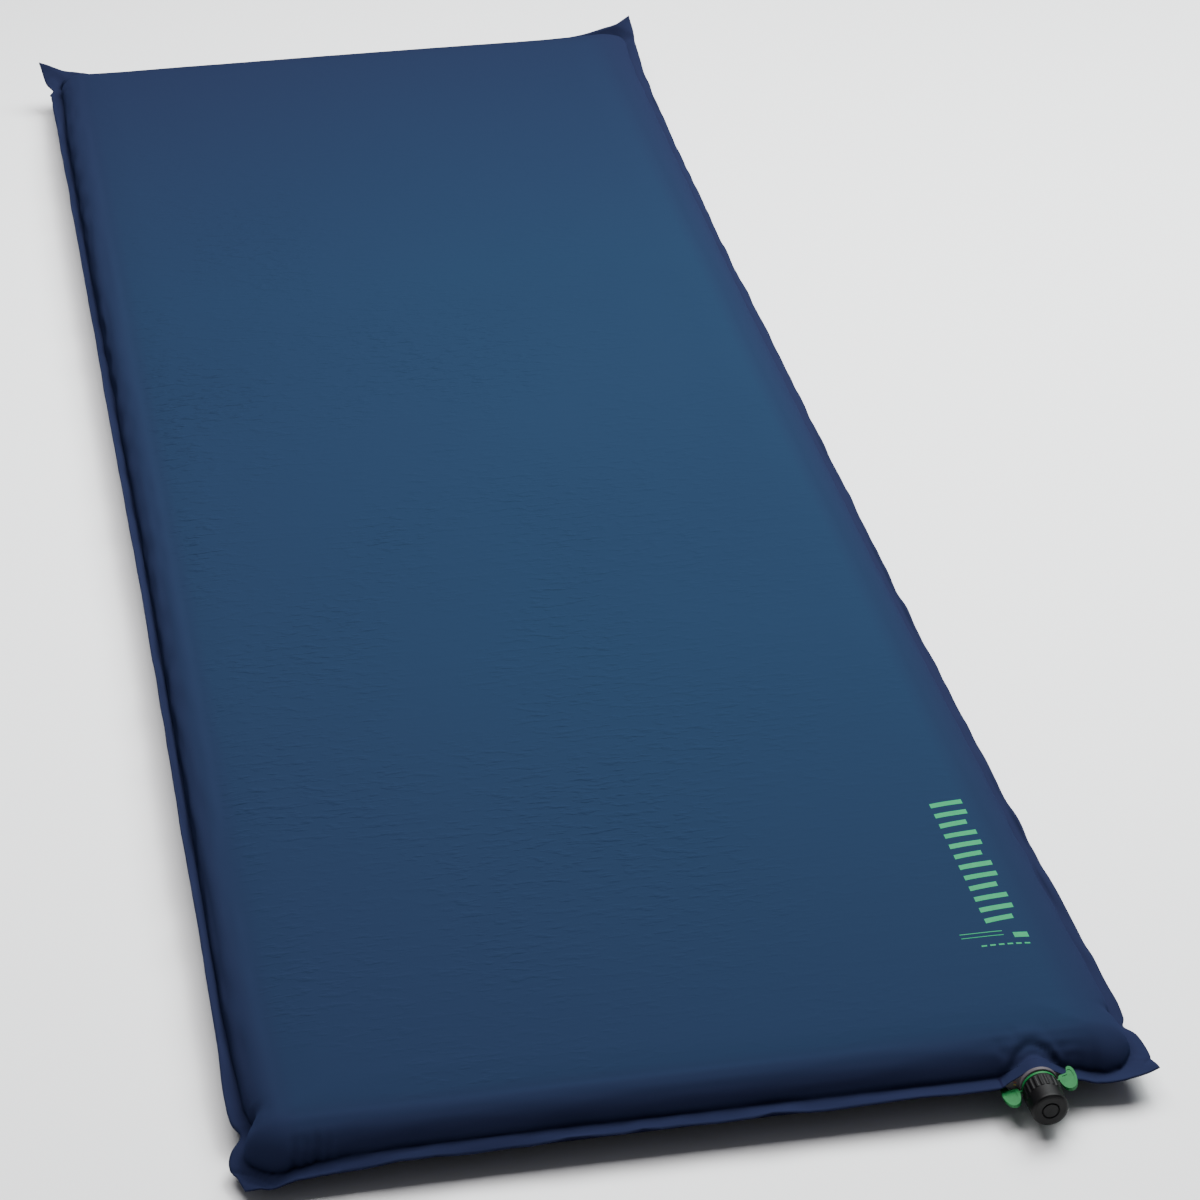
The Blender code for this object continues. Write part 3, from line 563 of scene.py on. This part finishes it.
def cloth_material(name, base, deep, edge, ripples):
    """Coated polyester: fine plain weave, short ripples across the pad's flat part, a satin gloss, and
    painted shade on the walls, towards the ends and on the left side.
    """
    thread = 0.0009
    nodes = Nodes(name)
    flat = nodes.place(uv=True)
    across, along, _ = nodes.add("ShaderNodeSeparateXYZ", {"Vector": flat}).outputs
    threads = [nodes.math("SINE", nodes.math("MULTIPLY", way, math.tau / thread)) for way in (across, along)]
    weave = nodes.math("MULTIPLY", *threads)
    tone = nodes.noise(nodes.place((2.2, 1.6, 2.2)), scale=1.6, detail=4, roughness=0.55)
    colour = nodes.blend(nodes.spread(tone, low=0, high=1), base, deep)
    speck = nodes.noise(flat, scale=900, detail=2)
    colour = nodes.blend(nodes.spread(speck, low=0, high=0.22), colour, deep)
    # Ripples run across the pad in sparse patches, and fade out before the walls
    fold = nodes.noise(nodes.place((62, 150, 62)), scale=1.0, detail=2)
    fold = nodes.spread(fold, low=0, high=1, start=0.50, end=0.75)
    long = nodes.noise(nodes.place((26, 120, 26)), scale=1.0, detail=2)
    long = nodes.spread(long, low=0, high=0.35, start=0.50, end=0.80)
    patches = nodes.noise(nodes.place((3, 2.2, 3)), scale=2.4, detail=2)
    patches = nodes.spread(patches, low=0.10, high=1.0, start=0.35, end=0.65)
    before, past = 0.010, 0.025  # the flat part's edge is this wide, each side of the bond's
    from_side = nodes.math("ABSOLUTE", across)
    from_side = nodes.spread(from_side, low=1, high=0, start=BOND_X - before, end=BOND_X + past)
    from_end = nodes.math("ABSOLUTE", along)
    from_end = nodes.spread(from_end, low=1, high=0, start=BOND_Y - before, end=BOND_Y + past)
    flat_part = nodes.math("MULTIPLY", from_side, from_end)
    # Painted shade: the cloth keeps its own greener colour over the middle of the pad, and turns to the
    # darker, more purple edge colour over the walls, towards both ends and towards the left side, where less
    # light falls; a little random tone is mixed in
    far_end_shade = nodes.spread(along, low=1.0, high=0.28, start=0.35, end=0.98)
    near = nodes.spread(along, low=0.66, high=1.0, start=-0.95, end=-0.35)
    left = nodes.spread(across, low=0.72, high=1.0, start=-0.30, end=0.05)
    drift = nodes.spread(tone, low=0.94, high=1.06)
    green = nodes.math("MULTIPLY", nodes.math("MULTIPLY", far_end_shade, near), nodes.math("MULTIPLY", left, drift))
    # Painted shade: the edge colour is laid where the share above falls
    colour = nodes.blend(nodes.math("MULTIPLY", green, flat_part), edge, colour)
    # The ripples are weaker towards the right side and both ends
    calm_right = nodes.spread(across, low=1.0, high=0.25, start=-0.15, end=0.22)
    calm_near = nodes.spread(along, low=0.35, high=1.0, start=-0.92, end=-0.60)
    calm_far = nodes.spread(along, low=1.0, high=0.2, start=0.20, end=0.70)
    calm = nodes.math("MULTIPLY", nodes.math("MULTIPLY", calm_right, calm_near), calm_far)
    calm = nodes.math("MULTIPLY", calm, nodes.spread(flat_part, low=0, high=1, start=0.65, end=1.0))
    share = nodes.math("MULTIPLY", calm, patches)
    height = nodes.math("MULTIPLY", nodes.math("ADD", fold, long), share)
    normal = nodes.bump(height, strength=1.0, distance=ripples)
    normal = nodes.bump(weave, strength=0.2, distance=0.00003, before=normal)
    wear = nodes.noise(nodes.place((6, 6, 6)), scale=2.0, detail=5, roughness=0.6)
    nodes.set(base_color=colour, roughness=nodes.spread(wear, low=0.54, high=0.64), normal=normal)
    nodes.set(specular_ior_level=0.0, sheen_weight=0.12, sheen_roughness=0.5)
    nodes.set(sheen_tint=(0.05, 0.08, 0.20, 1))
    return nodes.material


def moulded_material(name, base, worn, roughness):
    """Moulded plastic, rubber or ink: slight mottling, a fine grain and smears of more or less gloss."""
    nodes = Nodes(name)
    place = nodes.place()
    mottle = nodes.noise(place, scale=220, detail=4, roughness=0.6)
    colour = nodes.blend(nodes.spread(mottle, low=0, high=1), base, worn)
    grain = nodes.noise(place, scale=900)
    smear = nodes.noise(nodes.place((1, 0.25, 1)), scale=160)
    smear = nodes.spread(smear, low=roughness - 0.06, high=roughness + 0.08)
    nodes.set(base_color=colour, roughness=smear, specular_ior_level=0.15)
    nodes.set(normal=nodes.bump(grain, strength=0.35, distance=0.00004))
    return nodes.material


def foam_material(name):
    """Open-cell foam: a pale yellow body, with painted shade darkening its small pores."""
    nodes = Nodes(name)
    place = nodes.place()
    cells = nodes.add("ShaderNodeTexVoronoi", {"Vector": place, "Scale": 900.0}).outputs["Distance"]
    tone = nodes.noise(place, scale=12)
    colour = nodes.blend(nodes.spread(tone, low=0, high=1), (0.72, 0.68, 0.50), (0.62, 0.57, 0.40))
    # Painted shade: the colour darkens towards the middle of each foam cell, for the shade inside the pores
    pore_shade = nodes.spread(cells, low=0.35, high=0, start=0.0, end=0.5)
    colour = nodes.blend(pore_shade, colour, (0.30, 0.26, 0.16))
    nodes.set(base_color=colour, roughness=nodes.spread(tone, low=0.85, high=0.98))
    nodes.set(normal=nodes.bump(cells, strength=0.6, distance=0.0005), specular_ior_level=0.2)
    return nodes.material


def steel_material(name):
    """Drawn steel wire with fine streaks."""
    nodes = Nodes(name)
    streaks = nodes.noise(nodes.place((40, 1, 1)), scale=60, detail=4)
    colour = nodes.blend(nodes.spread(streaks, low=0, high=1), (0.62, 0.62, 0.63), (0.48, 0.48, 0.50))
    nodes.set(base_color=colour, roughness=nodes.spread(streaks, low=0.22, high=0.38), metallic=1.0)
    nodes.set(normal=nodes.bump(streaks, strength=0.2, distance=0.00002))
    return nodes.material


def dress(nodes, material):
    """Give CAD nodes a finish."""
    for name in nodes:
        piece = frame["nodes"][name]
        piece.data.materials.clear()
        piece.data.materials.append(material)


# The pad


def foam_slab(material):
    """The foam, its top and bottom falling towards its edges, with the notch that the boot stands in."""
    gap = foam_low.z

    def lines(low, high, extra):
        steps = np.arange(9)
        eased = steps * (steps + 1) / 2000  # each gap is 1 mm wider than the one before
        middle = np.linspace(low + eased[-1], high - eased[-1], round((high - low) / 0.04))
        return np.unique(np.round(np.concatenate([low + eased, middle, high - eased, extra]), 6))

    across = lines(foam_low.x, foam_high.x, [VALVE_X - NOTCH_HALF_WIDTH, VALVE_X + NOTCH_HALF_WIDTH])
    along = lines(foam_low.y, foam_high.y, [foam_low.y + NOTCH_DEPTH])
    bm = bmesh.new()
    grid = [[bm.verts.new((x, y, 0)) for y in along] for x in across]
    for i in range(len(across) - 1):
        for j in range(len(along) - 1):
            x, y = (across[i] + across[i + 1]) / 2, (along[j] + along[j + 1]) / 2
            if abs(x - VALVE_X) > NOTCH_HALF_WIDTH or y > foam_low.y + NOTCH_DEPTH:
                bm.faces.new((grid[i][j], grid[i + 1][j], grid[i + 1][j + 1], grid[i][j + 1]))
    bmesh.ops.delete(bm, geom=[v for v in bm.verts if not v.link_faces], context="VERTS")
    lower = bm.verts[:]
    raised = bmesh.ops.extrude_face_region(bm, geom=bm.faces[:])["geom"]
    upper = {v for v in raised if isinstance(v, bmesh.types.BMVert)}
    for vert in lower + list(upper):
        x_in = min(foam_high.x - vert.co.x, vert.co.x - foam_low.x)
        y_in = min(foam_high.y - vert.co.y, vert.co.y - foam_low.y)
        eased = EASE * max(0.0, 1 - min(x_in, y_in) / EASE_RUN) ** 2
        thick = THICKNESS - 2 * gap - 2 * float(fallen(min(x_in, y_in))) - 2 * eased
        vert.co.z = SEAM_Z + (0.5 if vert in upper else -0.5) * thick
    bmesh.ops.recalc_face_normals(bm, faces=bm.faces)
    mesh = bpy.data.meshes.new("foam_slab")
    bm.to_mesh(mesh)
    bm.free()
    mesh.shade_smooth()
    mesh.set_sharp_from_angle(angle=math.radians(50))
    mesh.materials.append(material)
    piece = bpy.data.objects.new("foam_slab", mesh)
    bpy.context.scene.collection.objects.link(piece)
    return piece


def on_surface(tree, x, y):
    """Height of the top sheet over one place."""
    hit = tree.ray_cast(Vector((x, y, 1)), Vector((0, 0, -1)))
    return hit[0].z


def oblong(left, right, low, high, lean=0.0):
    """A bar's corners in plan, its right end moved along the pad by the lean."""
    return [(left, low), (right, low + lean), (right, high + lean), (left, high)]


def printed_plate(corners, tree, most_cuts):
    """A thin printed patch that follows the top sheet: corners go round its outline in plan."""
    bm = bmesh.new()
    bm.faces.new([bm.verts.new((x, y, 0)) for x, y in corners])
    longest = max(math.dist(a, b) for a, b in zip(corners, corners[1:] + corners[:1]))
    cuts = max(1, round(longest / PRINT_STEP))
    bmesh.ops.subdivide_edges(bm, edges=bm.edges, cuts=min(cuts, most_cuts), use_grid_fill=True)
    bmesh.ops.triangulate(bm, faces=bm.faces)
    lifted = bmesh.ops.extrude_face_region(bm, geom=bm.faces[:])
    above = {v for v in lifted["geom"] if isinstance(v, bmesh.types.BMVert)}
    for vert in bm.verts:
        rise = PRINT if vert in above else -PRINT
        vert.co.z = on_surface(tree, vert.co.x, vert.co.y) + rise
    bmesh.ops.recalc_face_normals(bm, faces=bm.faces)
    return bm


def printed_marks(top_sheet, material):
    """Plain bars, lines, dashes and a square in place of the real pad's print: they spell nothing."""
    tree = BVHTree.FromObject(top_sheet, bpy.context.evaluated_depsgraph_get())
    whole = bmesh.new()

    def add(corners, most_cuts):
        part = printed_plate(corners, tree, most_cuts)
        carrier = bpy.data.meshes.new("carrier")
        part.to_mesh(carrier)
        part.free()
        whole.from_mesh(carrier)
        bpy.data.meshes.remove(carrier)

    left, right, start, end = 0.2490, 0.2755, -0.8204, -0.6475
    shorter = 0.004  # every third bar ends this far inside the others
    bars = 12
    pitch = (end - start) / bars
    lean = 0.35 * pitch
    for i in range(bars):
        low = start + pitch * i
        high = low + 0.42 * pitch
        edge = right if i % 3 else right - shorter
        add(oblong(left, edge, low, high, lean), 4)
    line_left, line_right, line_width = 0.2260, 0.2580, 0.0009
    for y in (-0.8365, -0.8315):
        add(oblong(line_left, line_right, y, y + line_width), 4)
    dash_start, dash_pitch, dash_length = 0.2380, 0.0065, 0.0042
    dash_low, dash_high = -0.8490, -0.8472
    for i in range(6):
        x = dash_start + dash_pitch * i
        add(oblong(x, x + dash_length, dash_low, dash_high), 2)
    square_left, square_right, square_low, square_high = 0.2653, 0.2763, -0.8403, -0.8335
    add(oblong(square_left, square_right, square_low, square_high), 2)
    mesh = bpy.data.meshes.new("printed_marks")
    whole.to_mesh(mesh)
    whole.free()
    mesh.materials.append(material)
    piece = bpy.data.objects.new("printed_marks", mesh)
    bpy.context.scene.collection.objects.link(piece)
    return piece


def position_ticks(materials):
    """Two plain ticks on the boot's face beside the cap, one for each position of the toggle."""
    tree = BVHTree.FromObject(frame["nodes"]["valve_boot"], bpy.context.evaluated_depsgraph_get())
    ticks = []
    for number, material in enumerate(materials):
        bm = bmesh.new()
        outer = []
        inner = []
        for side, level in ((-1, -1), (1, -1), (1, 1), (-1, 1)):
            dx = side * TICK_HALF_LENGTH
            x = TICK_X + dx
            z = TICK_Z + TICK_PITCH * number + level * TICK_HALF_HEIGHT + TICK_SLOPE * dx
            face = tree.ray_cast(Vector((x, boot_low.y - 0.01, z)), Vector((0, 1, 0)))[0]
            outer.append(bm.verts.new((x, face.y - PRINT, z)))
            inner.append(bm.verts.new((x, face.y + PRINT, z)))
        bm.faces.new(outer)
        bm.faces.new(inner[::-1])
        for i in range(4):
            bm.faces.new((outer[i - 1], inner[i - 1], inner[i], outer[i]))
        bmesh.ops.recalc_face_normals(bm, faces=bm.faces)
        mesh = bpy.data.meshes.new("position_tick_" + str(number + 1))
        bm.to_mesh(mesh)
        bm.free()
        mesh.materials.append(material)
        tick = bpy.data.objects.new(mesh.name, mesh)
        bpy.context.scene.collection.objects.link(tick)
        ticks.append(tick)
    return ticks


# Floor, lights and camera


def area_light(name, place, target, size, power, colour):
    data = bpy.data.lights.new(name, "AREA")
    data.shape = "RECTANGLE"
    data.size, data.size_y = size
    data.energy = power
    data.color = colour
    light = bpy.data.objects.new(name, data)
    bpy.context.scene.collection.objects.link(light)
    light.location = place
    light.rotation_euler = (Vector(target) - Vector(place)).to_track_quat("-Z", "Y").to_euler()


def studio():
    """A pale floor, a dim even sky and two soft lights."""
    mesh = bpy.data.meshes.new("floor")
    half = FLOOR_HALF
    corners = [(-half, -half, 0), (half, -half, 0), (half, half, 0), (-half, half, 0)]
    mesh.from_pydata(corners, [], [(0, 1, 2, 3)])
    floor = bpy.data.objects.new("floor", mesh)
    bpy.context.scene.collection.objects.link(floor)
    floor.location.z = -FLOOR_DROP
    nodes = Nodes("pale_floor")
    nodes.set(base_color=(0.90, 0.90, 0.90, 1), roughness=0.9, specular_ior_level=0.1)
    mesh.materials.append(nodes.material)
    world = bpy.data.worlds.new("studio")
    world.use_nodes = True
    sky = world.node_tree.nodes["Background"].inputs
    sky["Color"].default_value = (0.93, 0.95, 1.0, 1)
    sky["Strength"].default_value = WORLD_LIGHT
    bpy.context.scene.world = world
    area_light(
        "key", place=(1.2, 0.5, 2.3), target=(0.15, -0.1, 0), size=(1.6, 1.8),
        power=KEY_POWER, colour=(0.95, 1.0, 1.0),
    )
    area_light(
        "overhead", place=(0.0, 0.2, 2.9), target=(0, -0.1, 0), size=(2.6, 3.0),
        power=TOP_POWER, colour=(1.0, 0.99, 1.0),
    )


def photo_camera():
    """The camera, which looks down over the near end from the left."""
    azimuth, elevation, roll = (math.radians(angle) for angle in (10.38, 29.84, -0.41))
    target = Vector((0.0667, -0.2537, SEAM_Z))
    level = math.cos(elevation)
    ahead = Vector((math.sin(azimuth) * level, math.cos(azimuth) * level, -math.sin(elevation)))
    data = bpy.data.cameras.new("camera")
    data.sensor_width = 36
    data.lens = 119.27
    data.clip_start = 0.05
    data.clip_end = 50
    camera = bpy.data.objects.new("camera", data)
    bpy.context.scene.collection.objects.link(camera)
    look = ahead.to_track_quat("-Z", "Y").to_matrix().to_4x4()
    place = Matrix.Translation(target - CAMERA_DISTANCE * ahead)
    camera.matrix_world = place @ look @ Matrix.Rotation(roll, 4, "Z")
    bpy.context.scene.camera = camera


def finer(values, middle_rounds):
    """More lines along the second axis: each gap halved once at both ends, and some rounds between."""
    ends = FINE_CELLS + 1
    middle = values[:, FINE_CELLS:-FINE_CELLS]
    for _ in range(middle_rounds):
        middle = halved(middle)
    start, end = halved(values[:, :ends]), halved(values[:, -ends:])
    return np.concatenate([start[:, :-1], middle, end[:, 1:]], axis=1)


def finer_both(values):
    """Points 13 mm apart across the middle of the pad, 8 mm along it, and 2 mm apart near its edges."""
    return finer(finer(values, 2).swapaxes(0, 1), 0).swapaxes(0, 1)


def make_pad():
    """Both sheets, the foam between them, and the print on top."""
    coarse_across = grid_lines(BOND_X, STEP_ACROSS, VALVE_X)
    coarse_along = grid_lines(BOND_Y, 4 * STEP_ALONG)
    top, bottom = swollen_sheets(Pattern(coarse_across, coarse_along))
    across = finer(coarse_across[None, :], 0)[0]
    along = finer(coarse_along[None, :], 2)[0]
    pattern = Pattern(across, along)
    top, bottom = finer_both(top), finer_both(bottom)
    for sheet, side in ((top, 1), (bottom, -1)):
        shape_border(pattern, sheet)
        apart = (SHEET + PLY_GAP) * smooth(1.2 + pattern.outside / (2 * CELL)) * ~pattern.over_boot
        sheet += side * apart[..., None] * normals_of(sheet)
    shape_top(pattern, top)
    bottom[..., 2] = np.maximum(bottom[..., 2], SHEET)
    blue, navy = (0.0116, 0.0258, 0.0530), (0.0112, 0.0240, 0.0500)
    # Painted shade: the edge colours are darker, more purple copies of the cloth's colour, for the walls,
    # the ends and the left side
    top_painted_shade = (0.0128, 0.0160, 0.0400)
    # Painted shade: the bottom sheet is a darker copy of the top's cloth, for the lower walls that lie in
    # shade
    dark, darker = (0.0095, 0.0100, 0.0290), (0.0080, 0.0084, 0.0240)
    bottom_painted_shade = (0.0090, 0.0094, 0.0270)
    top_cloth = cloth_material("top_cloth", blue, navy, top_painted_shade, ripples=0.0016)
    bottom_cloth = cloth_material("bottom_cloth", dark, darker, bottom_painted_shade, ripples=0.0006)
    upper = sheet_object("top_sheet", top, pattern, True, top_cloth)
    lower = sheet_object("bottom_sheet", bottom, pattern, False, bottom_cloth)
    slab = foam_slab(foam_material("foam"))
    for piece, node, slot in (
        (upper, "top_fabric", "top_fabric"),
        (lower, "bottom_fabric", "bottom_fabric"),
        (slab, "foam_core", "foam"),
    ):
        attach(piece, "pad")
        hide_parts(node)
    green = moulded_material("print_ink", (0.002, 0.215, 0.078), (0.002, 0.190, 0.070), 0.55)
    marks = printed_marks(upper, green)
    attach(marks, "pad")


def make_valve():
    """Finishes for the CAD's valve pieces, and the ticks on the boot."""
    black = moulded_material("black_plastic", (0.0014, 0.0013, 0.0016), (0.0027, 0.0025, 0.0030), 0.50)
    green = moulded_material("green_plastic", (0.006, 0.105, 0.026), (0.009, 0.130, 0.034), 0.45)
    grey = moulded_material("grey_urethane", (0.060, 0.052, 0.060), (0.080, 0.070, 0.078), 0.50)
    white = moulded_material("inner_plastic", (0.62, 0.62, 0.60), (0.54, 0.54, 0.52), 0.42)
    rubber = moulded_material("seal_rubber", (0.016, 0.016, 0.016), (0.028, 0.028, 0.028), 0.62)
    silicone = moulded_material("silicone", (0.56, 0.56, 0.52), (0.48, 0.48, 0.45), 0.5)
    dress(["valve_cap", "valve_stem"], black)
    dress(["wing_toggle"], green)
    dress(["valve_boot"], grey)
    dress(["stem_lock_ring", "lifter", "flapper"], white)
    seals = ["lock_ring_seal", "toggle_inner_seal", "toggle_outer_seal", "plug_seal", "cap_seal"]
    dress(seals, rubber)
    dress(["flapper_pad"], silicone)
    dress(["flapper_pin"], steel_material("pin_steel"))
    straw = moulded_material("straw_ink", (0.30, 0.24, 0.05), (0.24, 0.19, 0.04), 0.5)
    rust = moulded_material("rust_ink", (0.20, 0.05, 0.03), (0.16, 0.04, 0.025), 0.5)
    for tick in position_ticks([straw, rust]):
        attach(tick, "pad")


photo_camera()
studio()
make_pad()
make_valve()
